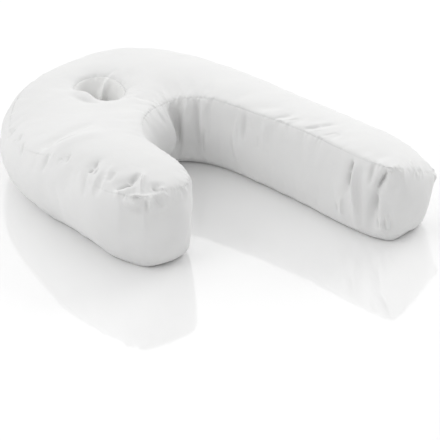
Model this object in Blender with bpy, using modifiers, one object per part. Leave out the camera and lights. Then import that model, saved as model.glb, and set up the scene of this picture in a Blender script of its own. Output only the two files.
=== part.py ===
"""Side-sleeper body pillow: a boxed cushion bent into a J, with a cloth-lined ear hole through its bend.

Metres, +Z up. The pillow lies on its bottom panel at z = 0 with its box centred on the origin. Both arms point
to -Y, the long one on the +X side, and the bend that carries the ear hole is on the +Y side.
"""

from collections import namedtuple
from math import atan2, cos, exp, pi, radians, sin

import bmesh
import bpy
from mathutils import Vector, geometry

# ---- driving sizes (metres) ----
STATIONS = 45            # cross sections along the pillow, from the short arm's end to the long arm's
TOP_COLUMNS = 7          # cage points across the top and bottom panels
COLUMN_EASE = 0.6        # how much the columns crowd towards the seams
WALL_ROWS = 4            # cage rows from the top seam to the bottom seam
BOTTOM_SEAM_HEIGHT = 0.011
END_TUCK = 0.003         # how far the bottom seam lies inside the top one on the arms' ends
END_BELLY = 0.015        # how far the arms' ends bulge past their seams
CONTACT_INSET = 0.008    # from the bottom seam to the edge of the flat that touches the floor
SHORT_CORNER_ROUNDS = (2, 1, 2, 2, 2)  # how strongly the corners are eased in plan: top seam, then each wall row
LONG_CORNER_ROUNDS = (1, 2, 2, 2, 2)
CORNER_REACH = 2         # cage steps from a corner that the rounding moves
DOME_POWER = 2.6         # squareness of the crown across a panel
BELLY_POWER = 2.2        # squareness of a wall's bulge from seam to seam
TUCK_POWER = 1.3         # how late on its way down a wall draws in
CURVE_STEPS = 400        # steps in which the pillow's length is measured
CROWN_RISE = 0.085       # length of arm over which the crown grows from its end seam
CROWN_POWER = 2.4        # how suddenly it grows
SOFT_LEVELS = 1          # rounds of subdivision from the cage to the solid
FLOOR_CLEAR = 0.004      # folds leave what lies lower than this alone
SEAM_CREASES = {"top": 0.85, "bottom": 0.6, "ear_top": 0.4, "ear_bottom": 0.5}

# ---- ear hole ----
EAR_CENTRE = Vector((-0.013, 0.184))
EAR_TURN = radians(-14)  # the hole's long axis, from +Y
EAR_LENGTH = 0.104
EAR_WIDTH = 0.070
EAR_DENT_ANGLE = radians(-102)  # where the panel swells over the hole's edge, from its far tip
EAR_DENT_SPREAD = radians(38)
EAR_DENT_DEPTH = 0.55    # as a share of the hole there
EAR_LIP_WIDTH = 0.015    # the panel's roll into the hole
EAR_MIDDLE = 0.55        # share of the way from the panel's cage to the lip where an extra ring lies
EAR_LIP_DROP = 0.005
EAR_WAIST = 0.78         # tunnel size at mid height, as a share of the rim
EAR_STATIONS = (11, 21)  # the cage stations and columns between which the hole takes the panels' place
EAR_COLUMNS = (1, 5)
RIM_RING = 3             # rings from the panel's cage to the rim
TUNNEL_ROWS = 3
TUNNEL_END_HEIGHT = 0.007
LINING_THICKNESS = 0.002
LINING_GAP = 0.0004

WHITE_COTTON = (0.90, 0.90, 0.89, 1.0)

# One row for each cross section: where the inner and outer top seams are in plan, how high they lie, how far the
# top panel crowns above them, how far the two side walls bulge past them, and how far inside them the bottom seams
# lie.
Section = namedtuple(
    "Section",
    "name inner_x inner_y outer_x outer_y inner_top outer_top crown inner_belly outer_belly inner_tuck outer_tuck",
)
SECTIONS = (
    Section("short_end", -0.110, -0.156, -0.192, -0.153, 0.118, 0.127, 0.013, 0.004, 0.015, 0.005, 0.006),
    Section("short_tip", -0.091, -0.120, -0.215, -0.103, 0.123, 0.119, 0.017, 0.006, 0.020, 0.003, 0.010),
    Section("short_mid", -0.083, -0.060, -0.214, -0.037, 0.124, 0.124, 0.019, 0.008, 0.028, 0.004, 0.015),
    Section("short_root", -0.073, -0.005, -0.207, 0.027, 0.122, 0.127, 0.019, 0.009, 0.027, 0.005, 0.012),
    Section("shoulder", -0.040, 0.042, -0.204, 0.089, 0.120, 0.109, 0.019, 0.012, 0.022, 0.006, 0.009),
    Section("lobe", -0.007, 0.068, -0.186, 0.165, 0.117, 0.093, 0.017, 0.026, 0.020, 0.006, 0.009),
    Section("bend_1", 0.013, 0.077, -0.132, 0.245, 0.113, 0.083, 0.017, 0.034, 0.025, 0.006, 0.013),
    Section("bend_2", 0.023, 0.079, -0.059, 0.305, 0.111, 0.087, 0.017, 0.034, 0.025, 0.006, 0.017),
    Section("bend_3", 0.031, 0.080, 0.028, 0.315, 0.111, 0.094, 0.016, 0.022, 0.023, 0.006, 0.017),
    Section("bend_4", 0.041, 0.076, 0.111, 0.285, 0.111, 0.103, 0.016, -0.004, 0.022, 0.007, 0.017),
    Section("bend_5", 0.056, 0.063, 0.168, 0.205, 0.115, 0.101, 0.017, -0.002, 0.020, 0.008, 0.017),
    Section("long_root", 0.074, 0.028, 0.195, 0.101, 0.121, 0.097, 0.017, 0.008, 0.018, 0.008, 0.016),
    Section("long_1", 0.088, -0.049, 0.206, -0.001, 0.122, 0.094, 0.017, 0.009, 0.018, 0.002, 0.016),
    Section("long_2", 0.099, -0.143, 0.217, -0.107, 0.124, 0.091, 0.016, 0.009, 0.017, -0.006, 0.016),
    Section("long_3", 0.101, -0.248, 0.222, -0.210, 0.124, 0.091, 0.017, 0.009, 0.013, -0.008, 0.015),
    Section("long_tip", 0.106, -0.308, 0.217, -0.271, 0.125, 0.086, 0.015, 0.009, 0.006, -0.003, 0.015),
    Section("long_end", 0.112, -0.322, 0.206, -0.314, 0.128, 0.078, 0.012, 0.011, 0.000, 0.000, 0.014),
)

# One row for each main fold: the two ends of its line, how far from that line it is felt, and how deep it
# presses in. A negative depth is a ridge.
Fold = namedtuple("Fold", "name start end width depth")
FOLDS = (
    Fold("bend_crease", (-0.191, 0.079, 0.119), (-0.123, 0.070, 0.132), 0.010, 0.005),
    Fold("bend_roll", (-0.204, 0.044, 0.124), (-0.145, 0.027, 0.141), 0.014, -0.004),
    Fold("outer_gather", (-0.170, 0.196, 0.086), (-0.158, 0.198, 0.091), 0.008, 0.003),
    Fold("side_gather_1", (-0.217, 0.053, 0.104), (-0.205, 0.053, 0.121), 0.008, 0.004),
    Fold("side_gather_2", (-0.211, 0.015, 0.123), (-0.202, 0.015, 0.131), 0.007, 0.003),
    Fold("side_gather_3", (-0.207, -0.041, 0.128), (-0.189, -0.039, 0.136), 0.008, 0.005),
    Fold("side_gather_4", (-0.219, -0.074, 0.115), (-0.202, -0.069, 0.129), 0.007, 0.004),
    Fold("end_pocket", (-0.204, -0.098, 0.125), (-0.179, -0.112, 0.131), 0.008, 0.009),
    Fold("end_lip", (-0.213, -0.104, 0.116), (-0.196, -0.121, 0.125), 0.007, -0.003),
    Fold("end_ridge", (-0.165, -0.109, 0.134), (-0.189, -0.137, 0.125), 0.007, -0.004),
    Fold("end_knot", (-0.205, -0.127, 0.116), (-0.193, -0.142, 0.124), 0.007, -0.005),
    Fold("end_under", (-0.209, -0.127, 0.105), (-0.195, -0.147, 0.106), 0.007, 0.004),
    Fold("end_tuck", (-0.171, -0.138, 0.127), (-0.159, -0.141, 0.127), 0.007, 0.006),
    Fold("end_hollow", (-0.192, -0.142, 0.086), (-0.150, -0.168, 0.084), 0.022, 0.008),
    Fold("end_foot", (-0.190, -0.150, 0.034), (-0.135, -0.176, 0.034), 0.020, -0.004),
    Fold("ear_roll", (-0.038, 0.203, 0.118), (-0.037, 0.155, 0.122), 0.010, -0.006),
    Fold("ear_wall_ridge", (0.026, 0.211, 0.106), (0.017, 0.204, 0.030), 0.008, -0.007),
    Fold("crotch_pinch", (0.041, 0.077, 0.094), (0.046, 0.080, 0.018), 0.007, 0.007),
    Fold("crotch_ridge", (0.057, 0.063, 0.102), (0.055, 0.076, 0.022), 0.007, -0.005),
    Fold("root_trough", (0.064, 0.051, 0.106), (0.066, 0.058, 0.028), 0.007, 0.005),
    Fold("root_ridge", (0.069, 0.039, 0.109), (0.074, 0.047, 0.016), 0.008, -0.003),
    Fold("wall_ridge_1", (0.078, -0.025, 0.068), (0.084, -0.020, 0.022), 0.010, -0.003),
    Fold("wall_trough_1", (0.083, -0.036, 0.110), (0.081, -0.043, 0.089), 0.009, 0.003),
    Fold("wall_ridge_2", (0.089, -0.230, 0.071), (0.091, -0.236, 0.025), 0.008, -0.003),
    Fold("wall_trough_2", (0.097, -0.250, 0.109), (0.090, -0.243, 0.033), 0.007, 0.006),
    Fold("wall_ridge_3", (0.097, -0.260, 0.108), (0.094, -0.264, 0.018), 0.007, -0.005),
    Fold("wall_trough_3", (0.097, -0.271, 0.104), (0.094, -0.273, 0.027), 0.006, 0.003),
    Fold("corner_fold", (0.107, -0.312, 0.113), (0.097, -0.297, 0.076), 0.007, 0.008),
    Fold("corner_fold_low", (0.097, -0.297, 0.076), (0.098, -0.289, 0.025), 0.009, 0.009),
    Fold("corner_ridge", (0.100, -0.307, 0.073), (0.103, -0.306, 0.027), 0.007, -0.004),
    Fold("low_wrinkle", (0.104, -0.315, 0.055), (0.111, -0.315, 0.021), 0.007, 0.003),
    Fold("tip_point", (0.208, -0.316, 0.074), (0.200, -0.322, 0.074), 0.014, -0.006),
    Fold("tip_hollow", (0.207, -0.316, 0.050), (0.198, -0.318, 0.018), 0.016, 0.008),
    Fold("seam_crease_1", (0.098, -0.099, 0.124), (0.116, -0.099, 0.128), 0.007, 0.003),
    Fold("seam_crease_2", (0.104, -0.151, 0.125), (0.144, -0.167, 0.127), 0.007, 0.003),
    Fold("seam_crease_3", (0.110, -0.195, 0.127), (0.128, -0.192, 0.129), 0.007, 0.003),
)


def clear_objects():
    for thing in list(bpy.data.objects):
        bpy.data.objects.remove(thing, do_unlink=True)


def collection(name):
    group = bpy.data.collections.new(name)
    bpy.context.scene.collection.children.link(group)
    return group


def cotton_material(name):
    material = bpy.data.materials.new(name)
    material.use_nodes = True
    shader = material.node_tree.nodes["Principled BSDF"]
    shader.inputs["Base Color"].default_value = WHITE_COTTON
    shader.inputs["Roughness"].default_value = 0.85
    shader.inputs["Metallic"].default_value = 0.0
    return material


# ---- the loft ----
def lerp(a, b, share):
    return a + (b - a) * share


def section_at(position):
    """The section values at a fractional row number, on a smooth curve through the rows."""
    last = len(SECTIONS) - 1
    row = min(max(int(position), 0), last - 1)
    f = position - row
    here, after = SECTIONS[row][1:], SECTIONS[row + 1][1:]
    before = SECTIONS[row - 1][1:] if row > 0 else [2 * a - b for a, b in zip(here, after)]
    beyond = SECTIONS[row + 2][1:] if row + 2 <= last else [2 * b - a for a, b in zip(here, after)]
    values = []
    for a, b, c, d in zip(before, here, after, beyond):
        cubic = 2 * b + (c - a) * f + (2 * a - 5 * b + 4 * c - d) * f**2 + (3 * b - a - 3 * c + d) * f**3
        values.append(cubic / 2)
    return Section("", *values)


def even_stations(count):
    """Sections at even distances along the middle of the pillow, each with its distance from the nearer end."""
    positions = [(len(SECTIONS) - 1) * k / CURVE_STEPS for k in range(CURVE_STEPS + 1)]
    travelled = [0.0]
    for a, b in zip(positions, positions[1:]):
        one, two = section_at(a), section_at(b)
        middle_one = Vector((one.inner_x + one.outer_x, one.inner_y + one.outer_y)) / 2
        middle_two = Vector((two.inner_x + two.outer_x, two.inner_y + two.outer_y)) / 2
        travelled.append(travelled[-1] + (middle_two - middle_one).length)
    length = travelled[-1]
    stations, k = [], 0
    for n in range(count):
        target = length * n / (count - 1)
        while k < CURVE_STEPS - 1 and travelled[k + 1] < target:
            k += 1
        share = (target - travelled[k]) / (travelled[k + 1] - travelled[k])
        stations.append((section_at(lerp(positions[k], positions[k + 1], share)), min(target, length - target)))
    return stations


def column_places():
    """Shares of the way across a panel, from the inner seam to the outer one."""
    shares = [column / (TOP_COLUMNS - 1) for column in range(TOP_COLUMNS)]
    return [lerp(share, (1 - cos(pi * share)) / 2, COLUMN_EASE) for share in shares]


def top_grid(stations):
    """Points of the top panel: a row for each station, from the inner seam to the outer one."""
    grid = []
    for section, from_end in stations:
        inner = Vector((section.inner_x, section.inner_y))
        outer = Vector((section.outer_x, section.outer_y))
        rise = 1 - max(1 - from_end / CROWN_RISE, 0) ** CROWN_POWER
        row = []
        for across in column_places():
            dome = 1 - abs(2 * across - 1) ** DOME_POWER
            plan = inner.lerp(outer, across)
            height = lerp(section.inner_top, section.outer_top, across) + section.crown * dome * rise
            row.append(Vector((plan.x, plan.y, height)))
        grid.append(row)
    return grid


def rim_places():
    """(station, column) round the panels' edge: along the inner seam, the long end, the outer seam, the short end."""
    last, far = STATIONS - 1, TOP_COLUMNS - 1
    places = [(i, 0) for i in range(STATIONS)]
    places += [(last, j) for j in range(1, TOP_COLUMNS)]
    places += [(i, far) for i in range(last - 1, -1, -1)]
    places += [(0, j) for j in range(far - 1, 0, -1)]
    return places


def smoothed(values, rounds):
    """A closed run of numbers or vectors, each eased towards its two neighbours."""
    count = len(values)
    for _ in range(rounds):
        values = [(values[k - 1] + values[k] * 2 + values[(k + 1) % count]) / 4 for k in range(count)]
    return values


def near_corner(i, j):
    """Whether a place on the panels' edge is close to one of the four corners at the arms' ends."""
    steps = min(i, STATIONS - 1 - i) + min(j, TOP_COLUMNS - 1 - j)
    return steps <= CORNER_REACH


def with_round_corners(ring, places, row):
    """The ring with its points near the corners eased, which rounds it in plan."""
    for done in range(max(SHORT_CORNER_ROUNDS[row], LONG_CORNER_ROUNDS[row])):
        short, long = done < SHORT_CORNER_ROUNDS[row], done < LONG_CORNER_ROUNDS[row]
        for k, (new, (i, j)) in enumerate(zip(smoothed(ring, 1), places)):
            if near_corner(i, j) and (short if i < STATIONS // 2 else long):
                ring[k] = new
    return ring


def ease_corners(grid, places):
    """Rounds the top panel's corners, and draws its next row of points along with them."""
    seam = with_round_corners([grid[i][j] for i, j in places], places, 0)
    for point, (i, j) in zip(seam, places):
        grid[i][j] = point
    for i in (1, STATIONS - 2):
        for j in range(1, TOP_COLUMNS - 1):
            around = (grid[i - 1][j] + grid[i + 1][j]) / 2
            grid[i][j] = Vector((around.x, around.y, grid[i][j].z))


def wall_rings(grid, places, stations):
    """Rings of points from the top seam down to the bottom seam, then the flat's edge on the floor."""
    seam = [grid[i][j] for i, j in places]
    count = len(seam)
    outward = []
    for k in range(count):
        along = (seam[(k + 1) % count] - seam[k - 1]).to_2d().normalized()
        outward.append(Vector((along.y, -along.x)))
    outward = [way.normalized() for way in smoothed(outward, 2)]
    belly, tuck = [], []
    columns = column_places()
    for i, j in places:
        across = columns[j]
        at_end = i in (0, STATIONS - 1) and 0 < across < 1
        section = stations[i][0]
        belly.append(END_BELLY if at_end else lerp(section.inner_belly, section.outer_belly, across))
        tuck.append(END_TUCK if at_end else lerp(section.inner_tuck, section.outer_tuck, across))
    belly, tuck = smoothed(belly, 2), smoothed(tuck, 3)
    rings = []
    for row in range(WALL_ROWS + 1):
        down = row / WALL_ROWS
        swell = 1 - abs(2 * down - 1) ** BELLY_POWER
        ring = []
        for k in range(count):
            plan = seam[k].to_2d() + outward[k] * (belly[k] * swell - tuck[k] * down**TUCK_POWER)
            ring.append(Vector((plan.x, plan.y, lerp(seam[k].z, BOTTOM_SEAM_HEIGHT, down))))
        rings.append(with_round_corners(ring, places, row) if row else ring)
    flat = []
    for k in range(count):
        plan = rings[-1][k].to_2d() - outward[k] * CONTACT_INSET
        flat.append(Vector((plan.x, plan.y, 0)))
    rings.append(flat)
    return rings


def bottom_grid(edge, places):
    """The flat bottom panel: its edge is the contact ring, and its rows run straight between the two sides."""
    at = {place: point for place, point in zip(places, edge)}
    grid = []
    for i in range(STATIONS):
        inner, outer = at[(i, 0)], at[(i, TOP_COLUMNS - 1)]
        row = []
        for j, across in enumerate(column_places()):
            row.append(at.get((i, j)) or inner.lerp(outer, across))
        grid.append(row)
    return grid


def ear_outline(angle, margin=0.0, size=1.0):
    """A point of the ear hole's outline in plan. Angle 0 is its far tip, and margin is how far outside it lies."""
    from_dent = (angle - EAR_DENT_ANGLE + pi) % (2 * pi) - pi
    size *= 1 - EAR_DENT_DEPTH * exp(-((from_dent / EAR_DENT_SPREAD) ** 2))
    along = cos(angle) * (EAR_LENGTH / 2 * size + margin)
    across = sin(angle) * (EAR_WIDTH / 2 * size + margin)
    lengthways = Vector((-sin(EAR_TURN), cos(EAR_TURN)))
    sideways = Vector((cos(EAR_TURN), sin(EAR_TURN)))
    return EAR_CENTRE + lengthways * along + sideways * across


def ear_angle(point):
    """The angle on the hole's outline that lies nearest to a point in plan."""
    offset = point.to_2d() - EAR_CENTRE
    lengthways = Vector((-sin(EAR_TURN), cos(EAR_TURN)))
    sideways = Vector((cos(EAR_TURN), sin(EAR_TURN)))
    return atan2(offset.dot(sideways) / EAR_WIDTH, offset.dot(lengthways) / EAR_LENGTH)


def panel_height(grid, plan):
    """The top panel's height over a point in plan, near the ear hole."""
    for i in range(EAR_STATIONS[0], EAR_STATIONS[1]):
        for j in range(EAR_COLUMNS[0], EAR_COLUMNS[1]):
            a, b, c, d = grid[i][j], grid[i][j + 1], grid[i + 1][j + 1], grid[i + 1][j]
            for corners in ((a, b, c), (a, c, d)):
                flat = [corner.to_2d().to_3d() for corner in corners]
                if geometry.intersect_point_tri_2d(plan, *(corner.to_2d() for corner in corners)):
                    return geometry.barycentric_transform(plan.to_3d(), *flat, *corners).z
    raise ValueError("the ear hole reaches past its block of the cage")


def ear_block():
    """The cage places round the block that the hole replaces, in order."""
    (i0, i1), (j0, j1) = EAR_STATIONS, EAR_COLUMNS
    places = [(i, j0) for i in range(i0, i1)]
    places += [(i1, j) for j in range(j0, j1)]
    places += [(i, j1) for i in range(i1, i0, -1)]
    places += [(i0, j) for j in range(j1, j0, -1)]
    return places


def tunnel_rings(top, places):
    """Rings from the top panel's roll into the hole, down the cloth tunnel, to the bottom panel's roll."""
    angles = [ear_angle(top[i][j]) for i, j in places]
    middle, lip, rim, flat_lip, flat_middle = [], [], [], [], []
    for (i, j), angle in zip(places, angles):
        lip_plan = ear_outline(angle, EAR_LIP_WIDTH)
        rim_plan = ear_outline(angle)
        middle_plan = top[i][j].to_2d().lerp(lip_plan, EAR_MIDDLE)
        lip_height = panel_height(top, lip_plan)
        middle.append(Vector((*middle_plan, panel_height(top, middle_plan))))
        lip.append(Vector((*lip_plan, lip_height)))
        rim.append(Vector((*rim_plan, lip_height - EAR_LIP_DROP)))
        flat_lip.append(Vector((*ear_outline(angle, CONTACT_INSET), 0)))
        flat_middle.append(Vector((*middle_plan, 0)))
    tunnel = []
    for row in range(1, TUNNEL_ROWS + 1):
        down = row / TUNNEL_ROWS
        size = 1 - (1 - EAR_WAIST) * sin(pi * down)
        ring = []
        for angle, start in zip(angles, rim):
            plan = ear_outline(angle, 0, size)
            ring.append(Vector((*plan, lerp(start.z, TUNNEL_END_HEIGHT, down))))
        tunnel.append(ring)
    return [middle, lip, rim, *tunnel, flat_lip, flat_middle]


def strip_faces(bm, upper, lower):
    """Quads between two closed rings of vertices."""
    faces = []
    for k in range(len(upper)):
        faces.append(bm.faces.new((upper[k - 1], lower[k - 1], lower[k], upper[k])))
    return faces


def panel_faces(bm, vertices, face_up):
    """Quads of a panel, which leave the ear hole's block open."""
    (i0, i1), (j0, j1) = EAR_STATIONS, EAR_COLUMNS
    for i in range(STATIONS - 1):
        for j in range(TOP_COLUMNS - 1):
            if i0 <= i < i1 and j0 <= j < j1:
                continue
            corners = [vertices[i, j], vertices[i, j + 1], vertices[i + 1, j + 1], vertices[i + 1, j]]
            bm.faces.new(corners if face_up else corners[::-1])


def cage_mesh():
    """The pillow's coarse closed cage. Its seams are creased, and its tunnel wall has material index 1."""
    stations = even_stations(STATIONS)
    top = top_grid(stations)
    rim = rim_places()
    ease_corners(top, rim)
    walls = wall_rings(top, rim, stations)
    bottom = bottom_grid(walls[-1], rim)
    block = ear_block()
    (i0, i1), (j0, j1) = EAR_STATIONS, EAR_COLUMNS
    bm = bmesh.new()
    top_vertices, bottom_vertices = {}, {}
    for i in range(STATIONS):
        for j in range(TOP_COLUMNS):
            if i0 < i < i1 and j0 < j < j1:
                continue
            top_vertices[i, j] = bm.verts.new(top[i][j])
            bottom_vertices[i, j] = bm.verts.new(bottom[i][j])
    panel_faces(bm, top_vertices, True)
    panel_faces(bm, bottom_vertices, False)
    seams = {"top": [top_vertices[place] for place in rim]}
    rings = [seams["top"]]
    rings += [[bm.verts.new(point) for point in ring] for ring in walls[1:-1]]
    seams["bottom"] = rings[-1]
    rings.append([bottom_vertices[place] for place in rim])
    for upper, lower in zip(rings, rings[1:]):
        strip_faces(bm, upper, lower)
    tunnel = [[bm.verts.new(point) for point in ring] for ring in tunnel_rings(top, block)]
    tunnel = [[top_vertices[place] for place in block]] + tunnel + [[bottom_vertices[place] for place in block]]
    last_ring = RIM_RING + TUNNEL_ROWS
    seams["ear_top"], seams["ear_bottom"] = tunnel[RIM_RING], tunnel[last_ring]
    for number, (upper, lower) in enumerate(zip(tunnel, tunnel[1:])):
        lined = RIM_RING <= number < last_ring
        for face in strip_faces(bm, upper, lower):
            face.material_index = 1 if lined else 0
    crease = bm.edges.layers.float.new("crease_edge")
    for name, ring in seams.items():
        for k in range(len(ring)):
            bm.edges.get((ring[k - 1], ring[k]))[crease] = SEAM_CREASES[name]
    bmesh.ops.recalc_face_normals(bm, faces=bm.faces)
    mesh = bpy.data.meshes.new("pillow_cage")
    bm.to_mesh(mesh)
    bm.free()
    return mesh


def refined(mesh, levels):
    """The mesh after a Subdivision Surface modifier, as a new mesh."""
    cage = bpy.data.objects.new("cage", mesh)
    bpy.context.scene.collection.objects.link(cage)
    modifier = cage.modifiers.new("Soft form", "SUBSURF")
    modifier.levels = levels
    modifier.render_levels = levels
    evaluated = cage.evaluated_get(bpy.context.evaluated_depsgraph_get())
    result = bpy.data.meshes.new_from_object(evaluated)
    bpy.data.objects.remove(cage, do_unlink=True)
    return result


def press_folds(mesh):
    """Moves the points near each fold's line along their normals. Points on the floor stay flat."""
    normals = [vertex.normal.copy() for vertex in mesh.vertices]
    for vertex, normal in zip(mesh.vertices, normals):
        if vertex.co.z < FLOOR_CLEAR:
            continue
        trough, ridge = 0.0, 0.0
        for fold in FOLDS:
            start, end = Vector(fold.start), Vector(fold.end)
            along = end - start
            share = min(max((vertex.co - start).dot(along) / along.length_squared, 0), 1)
            distance = (vertex.co - start - along * share).length
            pressed = fold.depth * exp(-((distance / fold.width) ** 2))
            trough, ridge = max(trough, pressed), min(ridge, pressed)
        vertex.co -= normal * (trough + ridge)
    mesh.update()


def centre_on_floor(mesh):
    """Puts the box's centre over the origin and its lowest point on the floor."""
    low = Vector([min(vertex.co[axis] for vertex in mesh.vertices) for axis in range(3)])
    high = Vector([max(vertex.co[axis] for vertex in mesh.vertices) for axis in range(3)])
    shift = Vector(((low.x + high.x) / 2, (low.y + high.y) / 2, low.z))
    for vertex in mesh.vertices:
        vertex.co -= shift


def tunnel_strip(mesh):
    """The tunnel wall's own faces, moved off the filling by the lining's gap, as an open mesh."""
    bm = bmesh.new()
    bm.from_mesh(mesh)
    others = [face for face in bm.faces if face.material_index != 1]
    bmesh.ops.delete(bm, geom=others, context="FACES")
    bm.normal_update()
    for vertex in bm.verts:
        vertex.co += vertex.normal * LINING_GAP
    strip = bpy.data.meshes.new("ear_tunnel_lining")
    bm.to_mesh(strip)
    bm.free()
    return strip


def place(name, mesh, material, group):
    """One named object with its own material, shaded smooth."""
    for polygon in mesh.polygons:
        polygon.material_index = 0
    mesh.materials.clear()
    mesh.materials.append(material)
    mesh.shade_smooth()
    thing = bpy.data.objects.new(name, mesh)
    group.objects.link(thing)
    return thing


def main():
    clear_objects()
    pillow = collection("body_pillow")
    body_mesh = refined(cage_mesh(), SOFT_LEVELS)
    press_folds(body_mesh)
    centre_on_floor(body_mesh)
    lining_mesh = tunnel_strip(body_mesh)
    place("pillow_body", body_mesh, cotton_material("cotton_shell"), pillow)
    lining = place("ear_tunnel_lining", lining_mesh, cotton_material("cotton_lining"), pillow)
    wall = lining.modifiers.new("Cloth thickness", "SOLIDIFY")
    wall.thickness = LINING_THICKNESS
    wall.offset = 1


main()
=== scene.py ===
"""Side-sleeper body pillow: white cotton over its filling, the ear hole's lining, the sewing and the stage.

Metres, +Z up. The pillow lies on its bottom panel at z = 0, and both arms point to -Y. The panels and the
side band start as one closed cage, are filled by a cloth simulation, and then get their folds and seams.
"""

from collections import namedtuple
from math import atan2, cos, exp, pi, radians, sin
from random import Random

import bmesh
import bpy
import numpy as np
from bpy.props import FloatProperty, IntProperty, PointerProperty, StringProperty
from mathutils import Matrix, Vector, geometry, kdtree, noise
from mathutils.bvhtree import BVHTree


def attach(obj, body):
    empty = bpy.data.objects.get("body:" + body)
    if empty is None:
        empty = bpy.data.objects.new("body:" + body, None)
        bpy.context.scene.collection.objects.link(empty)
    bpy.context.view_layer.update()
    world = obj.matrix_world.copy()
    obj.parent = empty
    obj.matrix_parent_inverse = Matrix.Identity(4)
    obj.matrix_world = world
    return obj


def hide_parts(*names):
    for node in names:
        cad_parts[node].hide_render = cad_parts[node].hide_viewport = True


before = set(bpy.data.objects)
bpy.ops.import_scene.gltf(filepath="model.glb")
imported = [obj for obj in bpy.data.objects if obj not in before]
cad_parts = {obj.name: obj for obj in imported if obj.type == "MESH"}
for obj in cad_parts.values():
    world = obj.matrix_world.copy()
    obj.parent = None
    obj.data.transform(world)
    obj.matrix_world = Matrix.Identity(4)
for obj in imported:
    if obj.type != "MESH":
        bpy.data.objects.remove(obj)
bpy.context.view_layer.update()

bl_info = {
    "name": "Body Pillow",
    "version": (1, 0, 0),
    "blender": (4, 5, 0),
    "location": "3D View > Sidebar > Pillow",
    "description": "Makes a bent side-sleeper pillow of filled cotton cloth, and a plain studio for it",
    "category": "Add Mesh",
}

# ---- sizes that the pattern pieces share (metres) ----
STATIONS = 45            # cross sections along the pillow, from the short arm's end to the long arm's
TOP_COLUMNS = 7          # cage points across the top and bottom panels
COLUMN_EASE = 0.6        # how much the columns crowd towards the seams
WALL_ROWS = 4            # cage rows from the top seam to the bottom seam
BOTTOM_SEAM_HEIGHT = 0.011
END_TUCK = 0.003         # how far the bottom seam lies inside the top one on the arms' ends
END_BELLY = 0.015        # how far the arms' ends bulge past their seams
CONTACT_INSET = 0.008    # from the bottom seam to the edge of the flat that touches the floor
# how strongly the corners are eased in plan: the top seam, then each wall row
SHORT_CORNER_ROUNDS = (2, 1, 2, 2, 2)
LONG_CORNER_ROUNDS = (1, 2, 2, 2, 2)
CORNER_REACH = 2         # cage steps from a corner that the rounding moves
DOME_POWER = 2.6         # squareness of the crown across a panel
BELLY_POWER = 2.2        # squareness of a wall's bulge from seam to seam
TUCK_POWER = 1.3         # how late on its way down a wall draws in
WAY_ROUNDS, BELLY_ROUNDS, TUCK_ROUNDS = 2, 2, 3  # how often these are eased along the seam
CURVE_STEPS = 400        # steps in which the pillow's length is measured
CROWN_RISE = 0.085       # length of arm over which the crown grows from its end seam
CROWN_POWER = 2.4        # how suddenly it grows
SEAM_CREASES = {"top": 0.85, "bottom": 0.6, "ear_top": 0.4, "ear_bottom": 0.5}

EAR_CENTRE = Vector((-0.013, 0.184))
EAR_TURN = radians(-14)  # the ear hole's long axis, from +Y
EAR_LENGTH = 0.104
EAR_WIDTH = 0.070
EAR_DENT_ANGLE = radians(-102)  # where the panel swells over the hole's edge, from its far tip
EAR_DENT_SPREAD = radians(38)
EAR_DENT_DEPTH = 0.55    # as a share of the hole there
EAR_LIP_WIDTH = 0.015    # the panel's roll into the hole
EAR_MIDDLE = 0.55        # share of the way from the panel's cage to the lip where an extra ring lies
EAR_LIP_DROP = 0.005
EAR_WAIST = 0.78         # tunnel size at mid height, as a share of the rim
EAR_STATIONS = (11, 21)  # the cage stations and columns between which the hole takes the panels' place
EAR_COLUMNS = (1, 5)
RIM_RING = 3             # rings from the panel's cage to the rim
TUNNEL_ROWS = 3
TUNNEL_END_HEIGHT = 0.007


def metres(value):
    """A table's value with its millimetres as metres. A name stays as it is."""
    if isinstance(value, tuple):
        return tuple(metres(part) for part in value)
    return value if isinstance(value, str) else value / 1000


def table(kind, *rows):
    """A table's rows, written in millimetres, as named tuples in metres."""
    return tuple(kind(*metres(row)) for row in rows)


# One row for each cross section: where the inner and outer top seams are in plan, how high they lie, how far
# the top panel crowns above them, how far the two side walls bulge past them, and how far inside them the
# bottom seams lie.
Section = namedtuple(
    "Section",
    "name inner_x inner_y outer_x outer_y inner_top outer_top crown"
    " inner_belly outer_belly inner_tuck outer_tuck",
)
SECTIONS = table(
    Section,
    ("short_end", -110, -156, -192, -153, 118, 127, 13, 4, 15, 5, 6),
    ("short_tip", -91, -120, -215, -103, 123, 119, 17, 6, 20, 3, 10),
    ("short_mid", -83, -60, -214, -37, 124, 124, 19, 8, 28, 4, 15),
    ("short_root", -73, -5, -207, 27, 122, 127, 19, 9, 27, 5, 12),
    ("shoulder", -40, 42, -204, 89, 120, 109, 19, 12, 22, 6, 9),
    ("lobe", -7, 68, -186, 165, 117, 93, 17, 26, 20, 6, 9),
    ("bend_1", 13, 77, -132, 245, 113, 83, 17, 34, 25, 6, 13),
    ("bend_2", 23, 79, -59, 305, 111, 87, 17, 34, 25, 6, 17),
    ("bend_3", 31, 80, 28, 315, 111, 94, 16, 22, 23, 6, 17),
    ("bend_4", 41, 76, 111, 285, 111, 103, 16, -4, 22, 7, 17),
    ("bend_5", 56, 63, 168, 205, 115, 101, 17, -2, 20, 8, 17),
    ("long_root", 74, 28, 195, 101, 121, 97, 17, 8, 18, 8, 16),
    ("long_1", 88, -49, 206, -1, 122, 94, 17, 9, 18, 2, 16),
    ("long_2", 99, -143, 217, -107, 124, 91, 16, 9, 17, -6, 16),
    ("long_3", 101, -248, 222, -210, 124, 91, 17, 9, 13, -8, 15),
    ("long_tip", 106, -308, 217, -271, 125, 86, 15, 9, 6, -3, 15),
    ("long_end", 112, -322, 206, -314, 128, 78, 12, 11, 0, 0, 14),
)

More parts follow.
